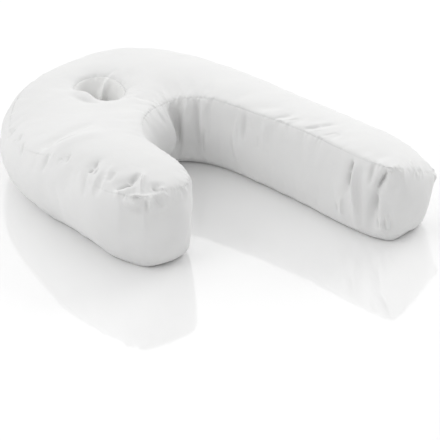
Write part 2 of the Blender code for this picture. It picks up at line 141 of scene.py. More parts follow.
# One row for each fold that stands in the cloth: the two ends of its line, how far from it the fold is felt,
# and how deep it presses in. A negative depth is a ridge.
Fold = namedtuple("Fold", "name start end width depth")
FOLDS = table(
    Fold,
    ("bend_crease", (-191, 79, 119), (-123, 70, 132), 10, 5),
    ("bend_roll", (-204, 44, 124), (-145, 27, 141), 14, -4),
    ("outer_gather", (-170, 196, 86), (-158, 198, 91), 8, 3),
    ("side_gather_1", (-217, 53, 104), (-205, 53, 121), 8, 4),
    ("side_gather_2", (-211, 15, 123), (-202, 15, 131), 7, 3),
    ("side_gather_3", (-207, -41, 128), (-189, -39, 136), 8, 5),
    ("side_gather_4", (-219, -74, 115), (-202, -69, 129), 7, 4),
    ("end_pocket", (-204, -98, 125), (-179, -112, 131), 8, 5),
    ("end_lip", (-213, -104, 116), (-196, -121, 125), 7, -3),
    ("end_ridge", (-165, -109, 134), (-189, -137, 125), 7, -4),
    ("end_knot", (-205, -127, 116), (-193, -142, 124), 7, -5),
    ("end_under", (-209, -127, 105), (-195, -147, 106), 7, 4),
    ("end_tuck", (-171, -138, 127), (-159, -141, 127), 7, 6),
    ("end_hollow", (-192, -142, 86), (-150, -168, 84), 22, 8),
    ("end_foot", (-190, -150, 34), (-135, -176, 34), 20, -4),
    ("ear_roll", (-38, 203, 118), (-37, 155, 122), 10, -6),
    ("ear_wall_ridge", (24, 201, 105), (0, 223, 30), 6, -10),
    ("crotch_pinch", (41, 77, 94), (46, 80, 18), 6, 3),
    ("crotch_ridge", (57, 63, 102), (55, 76, 22), 7, -5),
    ("root_trough", (64, 51, 106), (66, 58, 28), 7, 5),
    ("root_ridge", (69, 39, 109), (74, 47, 16), 8, -3),
    ("wall_ridge_1", (78, -25, 68), (84, -20, 22), 10, -3),
    ("wall_trough_1", (83, -36, 110), (81, -43, 89), 9, 2),
    ("wall_ridge_2", (89, -230, 71), (91, -236, 25), 8, -3),
    ("wall_trough_2", (97, -250, 109), (91, -247, 68), 6, 6),
    ("wall_ridge_3", (97, -260, 108), (94, -264, 18), 7, -5),
    ("wall_trough_3", (97, -271, 104), (94, -273, 27), 6, 3),
    ("corner_fold", (107, -312, 113), (97, -297, 76), 6, 7),
    ("corner_fold_low", (97, -297, 76), (98, -289, 25), 9, 9),
    ("corner_ridge", (100, -307, 73), (103, -306, 27), 7, -4),
    ("low_wrinkle", (104, -315, 55), (111, -315, 21), 7, 3),
    ("tip_point", (208, -316, 74), (200, -322, 74), 14, -6),
    ("tip_hollow", (207, -316, 50), (198, -318, 18), 16, 8),
    ("seam_crease_1", (98, -99, 124), (116, -99, 128), 7, 3),
    ("seam_crease_2", (104, -151, 125), (144, -167, 127), 7, 3),
    ("seam_crease_3", (110, -195, 127), (128, -192, 129), 7, 3),
)
# The same for the finer creases of the cloth, which only this model has.
CREASES = table(
    Fold,
    ("pocket", (-206, -102, 124), (-184, -113, 130), 3.5, 10),
    ("pocket_back", (-188, -108, 130), (-165, -106, 134), 4.5, 6),
    ("pocket_lip", (-211, -106, 120), (-201, -121, 123), 3.5, -2.5),
    ("pocket_ridge", (-164, -112, 133), (-188, -134, 125), 3, -5),
    ("knot_slit", (-204, -128, 117), (-194, -142, 120), 2.6, 4.5),
    ("tab_lip", (-206, -129, 110), (-195, -146, 110), 4.2, -4.5),
    ("tab_under", (-209, -127, 101), (-194, -150, 98), 5.5, 3.5),
    ("pleat", (-180, -146, 125), (-187, -154, 98), 2.8, -4.5),
    ("pleat_side", (-189, -147, 118), (-192, -153, 92), 3.2, 3.5),
    ("knob", (-162, -144, 126), (-158, -149, 125), 2.5, -3),
    ("knob_under", (-170, -137, 127), (-164, -149, 123), 3.5, 5),
    ("tuck_shade", (-177, -151, 120), (-166, -160, 100), 7.5, 4),
    ("side_slit", (-185, -37, 138), (-198, -41, 133), 2, 2.6),
    ("side_slit_low", (-199, -41, 132), (-208, -42, 128), 2.2, 4.3),
    ("side_slit_near", (-195, -48, 134), (-207, -53, 128), 2, 2.6),
    ("side_ridge", (-196, -57, 133), (-224, -68, 107), 3.5, -1.7),
    ("side_ridge_near", (-182, -64, 137), (-218, -83, 115), 4, -2.1),
    ("side_trough_near", (-187, -77, 134), (-204, -82, 127), 4, 2.6),
    ("side_trough", (-209, -41, 127), (-228, -54, 101), 5, 2.1),
    ("side_hollow", (-210, -9, 127), (-231, -14, 89), 12, 2.6),
    ("side_dash", (-205, 55, 120), (-220, 52, 97), 3.5, 2),
    ("side_dash_short", (-197, 11, 133), (-210, 7, 125), 3, 2.6),
    ("outer_dash", (-156, 197, 92), (-177, 190, 84), 3.5, 3),
    ("outer_dash_short", (-169, 165, 98), (-187, 149, 98), 3, 2.5),
    ("outer_line", (-186, 136, 102), (-205, 118, 93), 2.5, 2),
    ("bend_line", (-193, 79, 118), (-169, 64, 129), 3.5, 2),
    ("bend_line_end", (-169, 64, 129), (-121, 63, 133), 3.5, 2),
    ("bend_ridge", (-185, 60, 127), (-156, 42, 137), 3.5, -2),
    ("top_crease_1", (92, -86, 120), (114, -96, 128), 2.8, 1.5),
    ("top_ridge_1", (94, -93, 122), (108, -106, 127), 2.5, -1.2),
    ("top_crease_2", (102, -108, 125), (116, -117, 128), 2.5, 1.2),
    ("top_crease_3", (101, -141, 124), (123, -155, 128), 3, 2.1),
    ("top_crease_3_end", (123, -155, 128), (143, -162, 127), 3, 1.2),
    ("top_ridge_3", (101, -152, 124), (117, -166, 128), 2.5, -1.2),
    ("top_crease_4", (105, -179, 126), (127, -187, 129), 2.5, 1.5),
    ("top_hollow", (90, -40, 123), (126, -78, 128), 8, 1.2),
    ("root_dark", (84, -34, 114), (79, -35, 71), 4, 3),
    ("root_light", (80, -22, 104), (79, -18, 43), 4, -2.5),
    ("root_line", (76, -13, 75), (79, -7, 36), 3, 1.5),
    ("root_line_2", (83, -62, 89), (82, -63, 67), 4, 1.2),
    ("root_light_2", (89, -74, 114), (83, -79, 69), 6, -2),
    ("pleat_1", (99, -252, 113), (94, -247, 96), 2.6, 5),
    ("pleat_1_low", (94, -247, 96), (90, -248, 74), 2.8, 5),
    ("pleat_1_ridge", (98, -258, 112), (91, -266, 44), 3.5, -4),
    ("pleat_2", (89, -228, 43), (91, -226, 27), 2.2, 1.8),
    ("pleat_2_ridge", (89, -238, 57), (91, -237, 27), 2.5, -2.5),
    ("corner_branch", (109, -289, 125), (97, -288, 90), 3.5, 4),
    ("corner_deep", (109, -313, 117), (99, -300, 86), 3.2, 5),
    ("corner_deep_low", (99, -300, 86), (96, -294, 45), 5, 5),
    ("foot_ridge_1", (101, -308, 42), (104, -305, 21), 2.2, -3.5),
    ("foot_ridge_2", (105, -315, 49), (108, -312, 22), 2.4, -4),
    ("foot_line", (103, -312, 43), (106, -309, 24), 1.8, 1.2),
    ("foot_dark", (98, -298, 40), (101, -300, 25), 2.5, 3),
    ("knot", (109, -312, 122), (112, -317, 122), 2, 1.5),
    ("knot_lip", (108, -312, 117), (113, -318, 118), 2, -2.5),
    ("cap_ridge_1", (166, -297, 109), (148, -323, 99), 2.2, -2.5),
    ("cap_line_1", (161, -308, 107), (153, -324, 93), 2, 1.2),
    ("cap_ridge_2", (176, -304, 100), (161, -323, 91), 2.2, -2),
    ("ear_lip_line", (-55, 191, 111), (-51, 129, 119), 4, 3),
    ("end_cave", (-215, -116, 88), (-160, -163, 80), 22, 6),
    ("root_edge_dark", (65, 49, 111), (68, 55, 28), 3.5, 3),
    ("root_edge_light", (68, 42, 113), (68, 44, 57), 3, -2),
    ("root_thin", (68, 39, 70), (71, 47, 27), 2, 2),
    ("crotch_light", (57, 63, 106), (56, 69, 80), 3, -2),
    ("bulge_line_1", (6, 70, 110), (11, 56, 90), 3, 1.5),
    ("bulge_line_2", (20, 74, 107), (22, 58, 89), 3, 1.2),
)
# One row for each place where the cloth gathers: where it is, how far it is felt, and how strongly, up to 1.
Spot = namedtuple("Spot", "name place reach share")
GATHERS = (
    Spot("short_outer_corner", (-0.190, -0.140, 0.120), 0.070, 1.0),
    Spot("short_inner_corner", (-0.120, -0.155, 0.118), 0.045, 0.9),
    Spot("outer_side", (-0.205, 0.060, 0.110), 0.110, 0.4),
    Spot("back", (-0.020, 0.310, 0.090), 0.130, 0.45),
    Spot("ear_rim", (-0.013, 0.184, 0.115), 0.075, 0.45),
    Spot("crotch", (0.040, 0.075, 0.110), 0.060, 0.8),
    Spot("long_inner_side", (0.098, -0.150, 0.124), 0.090, 0.45),
    Spot("long_inner_corner", (0.112, -0.315, 0.120), 0.045, 0.8),
    Spot("long_outer_corner", (0.205, -0.310, 0.080), 0.060, 0.8),
    Spot("long_foot", (0.105, -0.305, 0.011), 0.060, 0.3),
)
EVEN_GATHER = 0.2        # the share everywhere else
# The same for the places where the cloth rolls over its seam so softly that no line shows.
ROLLS = (
    Spot("short_end", (-0.165, -0.150, 0.118), 0.075, 1.0),
    Spot("outer_side", (-0.215, -0.020, 0.122), 0.120, 1.0),
    Spot("lobe_side", (-0.190, 0.140, 0.100), 0.120, 0.9),
    Spot("long_end", (0.155, -0.318, 0.107), 0.048, 0.9),
    Spot("ear_rim", (-0.013, 0.184, 0.115), 0.080, 1.0),
)
EVEN_ROLL = 0.3
ROLL_REACH = 0.020       # how far from a seam its roll is felt
ROLL_HEIGHTS = (0.030, 0.060)  # the walls keep their form below the first, and roll fully above the second
ROLL_STEPS = 30
SEWN = 0.99              # the least seam mark of a point that lies on a seam
GROOVE_POWER = 3         # how steeply a seam's groove falls
BOTTOM_SHOWN = 0.3       # how much the bottom seam's line shows
PUCKER_CHANCE = 0.55     # how many of the seam's points start a pucker where the share is 1
PUCKER_LENGTHS = (0.007, 0.026)
PUCKER_WIDTHS = (0.0022, 0.0042)
PUCKER_DEPTHS = (0.0005, 0.0016)
PUCKER_LEAST = 0.5       # the factor of their depth is this and the share together
PUCKER_LEAN = 0.6        # how far a pucker may lean along its seam
PUCKER_FADE = 0.8        # how much of its depth is lost by its far end
PUCKER_RIDGES = 0.4      # share of them that stand out instead
PUCKER_SEED = 11
TAPER_POWER = 2.5        # how late a fold starts to fade towards its ends
CREASE_TAPER = 0.85      # how much of a crease's depth is lost by its ends
FOLD_TAPER = 0.5         # the same for a fold that stands in the cloth
OFF_LINE = 0.020         # how far the filled and rolled cloth may lie off a fold's line
OFF_WEIGHT = 0.3         # how much that counts as distance
FOLD_EDGE = 3.0          # widths from a fold's line at which it is no longer felt
NARROW = 0.008           # creases under this width need finer points
FINE_REACH = 0.004       # how far past its width
FINE_CUTS = 2            # how often each edge there is split
FINE_SMOOTHING = 4
FINE_EASE = 0.5          # how far each of these steps goes
FULL_HOLLOW = 2.0        # depth over width of a crease at which no light reaches its bottom
FLOOR_CLEAR = 0.004      # folds leave what lies lower than this alone
GATHER_REACH = 0.030     # how far from a seam its gathers run into the cloth
UNEVEN_SCALE = 45.0      # lumps of filling for each metre, where the gathers begin
CLOTH_MASS = 0.3         # of a point of the cloth, in the simulation's own measure
SHEAR_SHARE = 1 / 3      # how firm the weave is on the skew, against along its threads


# ---- settings ----
class PillowClothSettings(bpy.types.PropertyGroup):
    pressure: FloatProperty(
        name="Filling pressure", description="How hard the filling pushes the cloth out", default=5.0, min=0
    )
    frames: IntProperty(name="Filling steps", description="Steps of the cloth simulation", default=20, min=1)
    slack: FloatProperty(
        name="Fullness", description="How much longer the cloth is cut than its form", default=0.03
    )
    middle_fullness: FloatProperty(
        name="Middle fullness", description="Share of the fullness left far from the seams", default=0.1
    )
    seam_hold: FloatProperty(
        name="Seam hold", description="How firmly a seam keeps its place", default=0.9, min=0, max=1
    )
    stiffness: FloatProperty(name="Stretch stiffness", description="Resistance to stretching", default=15.0)
    bending: FloatProperty(name="Bending stiffness", description="How little the cloth bends", default=1.0)
    quality: IntProperty(name="Solver steps", description="Substeps of the cloth simulation", default=5)
    unevenness: FloatProperty(
        name="Unevenness", description="Lumps of the filling at the start", default=0.0008, unit="LENGTH"
    )
    inset: FloatProperty(
        name="Start inset", description="How far inside its form the cloth is", default=0.002, unit="LENGTH"
    )
    cap: FloatProperty(
        name="Largest swell", description="How far the filling moves the cloth", default=0.008, unit="LENGTH"
    )
    groove: FloatProperty(
        name="Seam depth", description="How deep a seam draws in", default=0.0014, unit="LENGTH"
    )
    # how dark the painted shadow in a seam's gap is
    seam_shade: FloatProperty(
        name="Seam shade", description="How dark the gap of a seam is", default=0.3, min=0, max=1
    )
    # how dark the painted shade at the bottom of a deep crease is
    fold_shade: FloatProperty(
        name="Crease shade", description="How dark the bottom of a deep crease is", default=0.3, min=0, max=1
    )
    colour: StringProperty(name="Cloth colour", description="sRGB hex value of the cotton", default="EAEAE9")
    shade: StringProperty(name="Cloth shade", description="sRGB hex value at its dullest", default="E3E3E3")
    thread_pitch: FloatProperty(
        name="Thread pitch", description="Distance between threads as drawn", default=0.0010, unit="LENGTH"
    )


class EarLiningSettings(bpy.types.PropertyGroup):
    thickness: FloatProperty(
        name="Lining thickness", description="Thickness of the lining", default=0.0008, unit="LENGTH"
    )
    # lighter than the shell's cotton: painted light inside the ear hole, for the light that the filling lets
    # through
    colour: StringProperty(name="Lining colour", description="sRGB hex value of the lining", default="F0F0EF")
    gap: FloatProperty(
        name="Lining gap", description="Room between lining and filling", default=0.0003, unit="LENGTH"
    )


class SeamSettings(bpy.types.PropertyGroup):
    pitch: FloatProperty(
        name="Stitch pitch", description="Distance between stitches", default=0.0032, unit="LENGTH"
    )
    length: FloatProperty(
        name="Stitch length", description="Length of one stitch", default=0.0022, unit="LENGTH"
    )
    width: FloatProperty(
        name="Thread width", description="Width of the sewing thread", default=0.0004, unit="LENGTH"
    )


class StudioSettings(bpy.types.PropertyGroup):
    floor_colour: StringProperty(name="Floor colour", description="sRGB hex value", default="FCFCFC")
    mirror: FloatProperty(name="Floor gloss", description="Share of light the floor mirrors", default=0.28)
    right: FloatProperty(name="Right light", description="Power of the right box", default=21.0, unit="POWER")
    left: FloatProperty(name="Left light", description="Power of the left box", default=10.8, unit="POWER")
    front: FloatProperty(name="Front wall", description="Brightness in front of the arms", default=0.20)
    corner: FloatProperty(name="Front corner", description="Brightness to the right of it", default=0.44)
    backdrop: FloatProperty(name="Back wall", description="Brightness behind the bend", default=1.0)
    side: FloatProperty(name="Left wall", description="Brightness on the left", default=0.26)
    ceiling: FloatProperty(name="Ceiling", description="Brightness above", default=0.49)


# ---- helpers ----
def linear(hex_value):
    """An sRGB hex value as a linear RGBA colour."""
    channels = [int(hex_value[k : k + 2], 16) / 255 for k in (0, 2, 4)]
    return (*[c / 12.92 if c <= 0.04045 else ((c + 0.055) / 1.055) ** 2.4 for c in channels], 1.0)


def node(tree, kind, inputs=None, **settings):
    """A node with its settings. Of its inputs, a socket is linked, and any other value is the default."""
    made = tree.nodes.new(kind)
    for name, value in settings.items():
        setattr(made, name, value)
    for key, value in (inputs or {}).items():
        if isinstance(value, bpy.types.NodeSocket):
            tree.links.new(value, made.inputs[key])
        else:
            made.inputs[key].default_value = value
    return made


def lerp(a, b, share):
    return a + (b - a) * share


def points_of(mesh):
    flat = np.empty(len(mesh.vertices) * 3, np.float64)
    mesh.vertices.foreach_get("co", flat)
    return flat.reshape(-1, 3)


def normals_of(mesh):
    flat = np.empty(len(mesh.vertices) * 3, np.float64)
    mesh.vertex_normals.foreach_get("vector", flat)
    return flat.reshape(-1, 3)


def set_points(mesh, points):
    mesh.vertices.foreach_set("co", np.ascontiguousarray(points, np.float32).ravel())
    mesh.update()


def marks_of(mesh, name):
    """The values of a float attribute on the mesh's points."""
    values = np.empty(len(mesh.vertices), np.float64)
    mesh.attributes[name].data.foreach_get("value", values)
    return values


def distance_to(points, targets):
    """How far each point is from the nearest of the targets."""
    tree = kdtree.KDTree(len(targets))
    for number, target in enumerate(targets):
        tree.insert(target, number)
    tree.balance()
    return np.array([tree.find(point)[2] for point in points])


def opened(mesh):
    bm = bmesh.new()
    bm.from_mesh(mesh)
    return bm


def closed(bm, name):
    """The edited shape as a new mesh."""
    mesh = bpy.data.meshes.new(name)
    bm.to_mesh(mesh)
    bm.free()
    return mesh


def placed(name, data):
    """A new object in the scene."""
    made = bpy.data.objects.new(name, data)
    bpy.context.scene.collection.objects.link(made)
    return made


def evaluated_mesh(piece):
    """The object's mesh with its modifiers applied, as a new mesh. The object is removed."""
    result = bpy.data.meshes.new_from_object(piece.evaluated_get(bpy.context.evaluated_depsgraph_get()))
    bpy.data.objects.remove(piece, do_unlink=True)
    return result


def add_piece(name, mesh, material):
    """One object at the origin with its mesh and material, shaded smooth."""
    mesh.name = name
    mesh.materials.clear()
    mesh.materials.append(material)
    mesh.shade_smooth()
    return placed(name, mesh)


# ---- the pattern pieces sewn into one closed cage ----
def section_at(position):
    """The section values at a fractional row number, on a smooth curve through the rows."""
    last = len(SECTIONS) - 1
    row = min(max(int(position), 0), last - 1)
    f = position - row
    here, after = SECTIONS[row][1:], SECTIONS[row + 1][1:]
    before = SECTIONS[row - 1][1:] if row > 0 else [2 * a - b for a, b in zip(here, after)]
    beyond = SECTIONS[row + 2][1:] if row + 2 <= last else [2 * b - a for a, b in zip(here, after)]
    values = []
    for a, b, c, d in zip(before, here, after, beyond):
        cubic = 2 * b + (c - a) * f + (2 * a - 5 * b + 4 * c - d) * f**2 + (3 * b - a - 3 * c + d) * f**3
        values.append(cubic / 2)
    return Section("", *values)


def even_stations(count):
    """Sections at even distances along the pillow's middle, each with its distance from the nearer end."""
    positions = [(len(SECTIONS) - 1) * k / CURVE_STEPS for k in range(CURVE_STEPS + 1)]
    middles = []
    for section in map(section_at, positions):
        middles.append(Vector((section.inner_x + section.outer_x, section.inner_y + section.outer_y)) / 2)
    travelled = [0.0]
    for one, two in zip(middles, middles[1:]):
        travelled.append(travelled[-1] + (two - one).length)
    length = travelled[-1]
    stations, k = [], 0
    for n in range(count):
        target = length * n / (count - 1)
        while k < CURVE_STEPS - 1 and travelled[k + 1] < target:
            k += 1
        share = (target - travelled[k]) / (travelled[k + 1] - travelled[k])
        section = section_at(lerp(positions[k], positions[k + 1], share))
        stations.append((section, min(target, length - target)))
    return stations


def column_places():
    """Shares of the way across a panel, from the inner seam to the outer one."""
    shares = [column / (TOP_COLUMNS - 1) for column in range(TOP_COLUMNS)]
    return [lerp(share, (1 - cos(pi * share)) / 2, COLUMN_EASE) for share in shares]


def top_grid(stations):
    """Points of the top panel: a row for each station, from the inner seam to the outer one."""
    grid = []
    for section, from_end in stations:
        inner = Vector((section.inner_x, section.inner_y))
        outer = Vector((section.outer_x, section.outer_y))
        rise = 1 - max(1 - from_end / CROWN_RISE, 0) ** CROWN_POWER
        row = []
        for across in column_places():
            dome = 1 - abs(2 * across - 1) ** DOME_POWER
            plan = inner.lerp(outer, across)
            height = lerp(section.inner_top, section.outer_top, across) + section.crown * dome * rise
            row.append(Vector((*plan, height)))
        grid.append(row)
    return grid


def border(stations, columns):
    """(station, column) round a block of the panels' grid: inner side, far end, outer side, near end."""
    (i0, i1), (j0, j1) = stations, columns
    places = [(i, j0) for i in range(i0, i1)]
    places += [(i1, j) for j in range(j0, j1)]
    places += [(i, j1) for i in range(i1, i0, -1)]
    places += [(i0, j) for j in range(j1, j0, -1)]
    return places


def smoothed(values, rounds):
    """A closed run of numbers or vectors, each eased towards its two neighbours."""
    count = len(values)
    for _ in range(rounds):
        values = [(values[k - 1] + values[k] * 2 + values[(k + 1) % count]) / 4 for k in range(count)]
    return values


def near_corner(i, j):
    """Whether a place on the panels' edge is close to one of the four corners at the arms' ends."""
    return min(i, STATIONS - 1 - i) + min(j, TOP_COLUMNS - 1 - j) <= CORNER_REACH


def with_round_corners(ring, places, row):
    """The ring with its points near the corners eased, which rounds it in plan."""
    for done in range(max(SHORT_CORNER_ROUNDS[row], LONG_CORNER_ROUNDS[row])):
        short, long = done < SHORT_CORNER_ROUNDS[row], done < LONG_CORNER_ROUNDS[row]
        for k, (new, (i, j)) in enumerate(zip(smoothed(ring, 1), places)):
            if near_corner(i, j) and (short if i < STATIONS // 2 else long):
                ring[k] = new
    return ring


def ease_corners(grid, places):
    """Rounds the top panel's corners, and draws its next row of points along with them."""
    seam = with_round_corners([grid[i][j] for i, j in places], places, 0)
    for point, (i, j) in zip(seam, places):
        grid[i][j] = point
    for i in (1, STATIONS - 2):
        for j in range(1, TOP_COLUMNS - 1):
            around = (grid[i - 1][j] + grid[i + 1][j]) / 2
            grid[i][j] = Vector((around.x, around.y, grid[i][j].z))


def wall_rings(grid, places, stations):
    """Rings of points of the side band, from the top seam down to the bottom seam, then the flat's edge."""
    seam = [grid[i][j] for i, j in places]
    count = len(seam)
    outward = []
    for k in range(count):
        along = (seam[(k + 1) % count] - seam[k - 1]).to_2d().normalized()
        outward.append(Vector((along.y, -along.x)))
    outward = [way.normalized() for way in smoothed(outward, WAY_ROUNDS)]
    belly, tuck = [], []
    columns = column_places()
    for i, j in places:
        across = columns[j]
        at_end = i in (0, STATIONS - 1) and 0 < across < 1
        section = stations[i][0]
        belly.append(END_BELLY if at_end else lerp(section.inner_belly, section.outer_belly, across))
        tuck.append(END_TUCK if at_end else lerp(section.inner_tuck, section.outer_tuck, across))
    belly, tuck = smoothed(belly, BELLY_ROUNDS), smoothed(tuck, TUCK_ROUNDS)
    rings = []
    for row in range(WALL_ROWS + 1):
        down = row / WALL_ROWS
        swell = 1 - abs(2 * down - 1) ** BELLY_POWER
        ring = []
        for k in range(count):
            plan = seam[k].to_2d() + outward[k] * (belly[k] * swell - tuck[k] * down**TUCK_POWER)
            ring.append(Vector((*plan, lerp(seam[k].z, BOTTOM_SEAM_HEIGHT, down))))
        rings.append(with_round_corners(ring, places, row) if row else ring)
    flat = []
    for k in range(count):
        plan = rings[-1][k].to_2d() - outward[k] * CONTACT_INSET
        flat.append(Vector((*plan, 0)))
    rings.append(flat)
    return rings


def bottom_grid(edge, places):
    """The flat bottom panel: its edge is the contact ring, and its rows run straight from side to side."""
    at = dict(zip(places, edge))
    grid = []
    for i in range(STATIONS):
        inner, outer = at[(i, 0)], at[(i, TOP_COLUMNS - 1)]
        grid.append([at.get((i, j)) or inner.lerp(outer, across) for j, across in enumerate(column_places())])
    return grid


def ear_outline(angle, margin=0.0, size=1.0):
    """A point of the ear hole's outline in plan, or margin outside it. Angle 0 is its far tip."""
    from_dent = (angle - EAR_DENT_ANGLE + pi) % (2 * pi) - pi
    size *= 1 - EAR_DENT_DEPTH * exp(-((from_dent / EAR_DENT_SPREAD) ** 2))
    along = cos(angle) * (EAR_LENGTH / 2 * size + margin)
    across = sin(angle) * (EAR_WIDTH / 2 * size + margin)
    lengthways = Vector((-sin(EAR_TURN), cos(EAR_TURN)))
    sideways = Vector((cos(EAR_TURN), sin(EAR_TURN)))
    return EAR_CENTRE + lengthways * along + sideways * across


def ear_angle(point):
    """The angle on the hole's outline that lies nearest to a point in plan."""
    offset = point.to_2d() - EAR_CENTRE
    lengthways = Vector((-sin(EAR_TURN), cos(EAR_TURN)))
    sideways = Vector((cos(EAR_TURN), sin(EAR_TURN)))
    return atan2(offset.dot(sideways) / EAR_WIDTH, offset.dot(lengthways) / EAR_LENGTH)


def panel_height(grid, plan):
    """The top panel's height over a point in plan, near the ear hole."""
    for i in range(EAR_STATIONS[0], EAR_STATIONS[1]):
        for j in range(EAR_COLUMNS[0], EAR_COLUMNS[1]):
            a, b, c, d = grid[i][j], grid[i][j + 1], grid[i + 1][j + 1], grid[i + 1][j]
            for corners in ((a, b, c), (a, c, d)):
                flat = [corner.to_2d().to_3d() for corner in corners]
                if geometry.intersect_point_tri_2d(plan, *(corner.to_2d() for corner in corners)):
                    return geometry.barycentric_transform(plan.to_3d(), *flat, *corners).z
    raise ValueError("the ear hole reaches past its block of the cage")


def tunnel_rings(top, places):
    """Rings from the top panel's roll into the hole, down the tunnel, to the bottom panel's roll."""
    angles = [ear_angle(top[i][j]) for i, j in places]
    middle, lip, rim, flat_lip, flat_middle = [], [], [], [], []
    for (i, j), angle in zip(places, angles):
        lip_plan = ear_outline(angle, EAR_LIP_WIDTH)
        rim_plan = ear_outline(angle)
        middle_plan = top[i][j].to_2d().lerp(lip_plan, EAR_MIDDLE)
        lip_height = panel_height(top, lip_plan)
        middle.append(Vector((*middle_plan, panel_height(top, middle_plan))))
        lip.append(Vector((*lip_plan, lip_height)))
        rim.append(Vector((*rim_plan, lip_height - EAR_LIP_DROP)))
        flat_lip.append(Vector((*ear_outline(angle, CONTACT_INSET), 0)))
        flat_middle.append(Vector((*middle_plan, 0)))
    tunnel = []
    for row in range(1, TUNNEL_ROWS + 1):
        down = row / TUNNEL_ROWS
        size = 1 - (1 - EAR_WAIST) * sin(pi * down)
        ring = []
        for angle, start in zip(angles, rim):
            plan = ear_outline(angle, 0, size)
            ring.append(Vector((*plan, lerp(start.z, TUNNEL_END_HEIGHT, down))))
        tunnel.append(ring)
    return [middle, lip, rim, *tunnel, flat_lip, flat_middle]


def strip_faces(bm, upper, lower, uv, band=False):
    """Quads between two closed rings of vertices. A band's UV is the length along it and the height."""
    faces, travelled = [], 0.0
    for k in range(len(upper)):
        face = bm.faces.new((upper[k - 1], lower[k - 1], lower[k], upper[k]))
        step = (upper[k].co - upper[k - 1].co).to_2d().length
        for loop in face.loops:
            ahead = loop.vert in (upper[k], lower[k])
            along = travelled + (step if ahead else 0)
            loop[uv].uv = (along, loop.vert.co.z) if band else loop.vert.co.to_2d()
        travelled += step
        faces.append(face)
    return faces


def panel_faces(bm, vertices, face_up, uv):
    """Quads of a panel, which leave the ear hole's block open. A panel is cut flat, so its UV is its plan."""
    (i0, i1), (j0, j1) = EAR_STATIONS, EAR_COLUMNS
    for i in range(STATIONS - 1):
        for j in range(TOP_COLUMNS - 1):
            if i0 <= i < i1 and j0 <= j < j1:
                continue
            corners = [vertices[i, j], vertices[i, j + 1], vertices[i + 1, j + 1], vertices[i + 1, j]]
            face = bm.faces.new(corners if face_up else corners[::-1])
            for loop in face.loops:
                loop[uv].uv = loop.vert.co.to_2d()


def cage_mesh():
    """The pillow's closed cage, with its cloth UVs. Its points are marked where a seam or the floor holds."""
    stations = even_stations(STATIONS)
    top = top_grid(stations)
    rim = border((0, STATIONS - 1), (0, TOP_COLUMNS - 1))
    ease_corners(top, rim)
    walls = wall_rings(top, rim, stations)
    bottom = bottom_grid(walls[-1], rim)
    block = border(EAR_STATIONS, EAR_COLUMNS)
    (i0, i1), (j0, j1) = EAR_STATIONS, EAR_COLUMNS
    bm = bmesh.new()
    uv = bm.loops.layers.uv.new("Cloth")
    seam_mark = bm.verts.layers.float.new("seam")
    floor_mark = bm.verts.layers.float.new("floor")
    crease = bm.edges.layers.float.new("crease_edge")
    top_vertices, bottom_vertices = {}, {}
    for i in range(STATIONS):
        for j in range(TOP_COLUMNS):
            if i0 < i < i1 and j0 < j < j1:
                continue
            top_vertices[i, j] = bm.verts.new(top[i][j])
            bottom_vertices[i, j] = bm.verts.new(bottom[i][j])
    panel_faces(bm, top_vertices, True, uv)
    panel_faces(bm, bottom_vertices, False, uv)
    seams = {"top": [top_vertices[place] for place in rim]}
    rings = [seams["top"]]
    rings += [[bm.verts.new(point) for point in ring] for ring in walls[1:-1]]
    seams["bottom"] = rings[-1]
    rings.append([bottom_vertices[place] for place in rim])
    for number, (upper, lower) in enumerate(zip(rings, rings[1:])):
        strip_faces(bm, upper, lower, uv, band=number < WALL_ROWS)
    tunnel = [[top_vertices[place] for place in block]]
    tunnel += [[bm.verts.new(point) for point in ring] for ring in tunnel_rings(top, block)]
    tunnel.append([bottom_vertices[place] for place in block])
    last_ring = RIM_RING + TUNNEL_ROWS
    seams["ear_top"], seams["ear_bottom"] = tunnel[RIM_RING], tunnel[last_ring]
    for number, (upper, lower) in enumerate(zip(tunnel, tunnel[1:])):
        lined = RIM_RING <= number < last_ring
        for face in strip_faces(bm, upper, lower, uv, band=lined):
            face.material_index = 1 if lined else 0
    for name, ring in seams.items():
        for k in range(len(ring)):
            bm.edges.get((ring[k - 1], ring[k]))[crease] = SEAM_CREASES[name]
            ring[k][seam_mark] = 1.0
    for vertex in bm.verts:
        vertex[floor_mark] = 1.0 if vertex.co.z == 0 else 0.0
    bmesh.ops.recalc_face_normals(bm, faces=bm.faces)
    return closed(bm, "pillow_cage")


def refined(mesh, levels):
    """The mesh after a Subdivision Surface modifier, as a new mesh."""
    cage = placed("cage", mesh)
    modifier = cage.modifiers.new("Soft form", "SUBSURF")
    modifier.levels = levels
    modifier.render_levels = levels
    return evaluated_mesh(cage)


# ---- filling, folds and seams ----
def share_at(points, spots, even):
    """How strongly each point feels the spots, and the even share away from them all."""
    share = np.full(len(points), even)
    for spot in spots:
        near = np.exp(-((np.linalg.norm(points - np.array(spot.place), axis=1) / spot.reach) ** 2))
        share = np.maximum(share, spot.share * near)
    return share


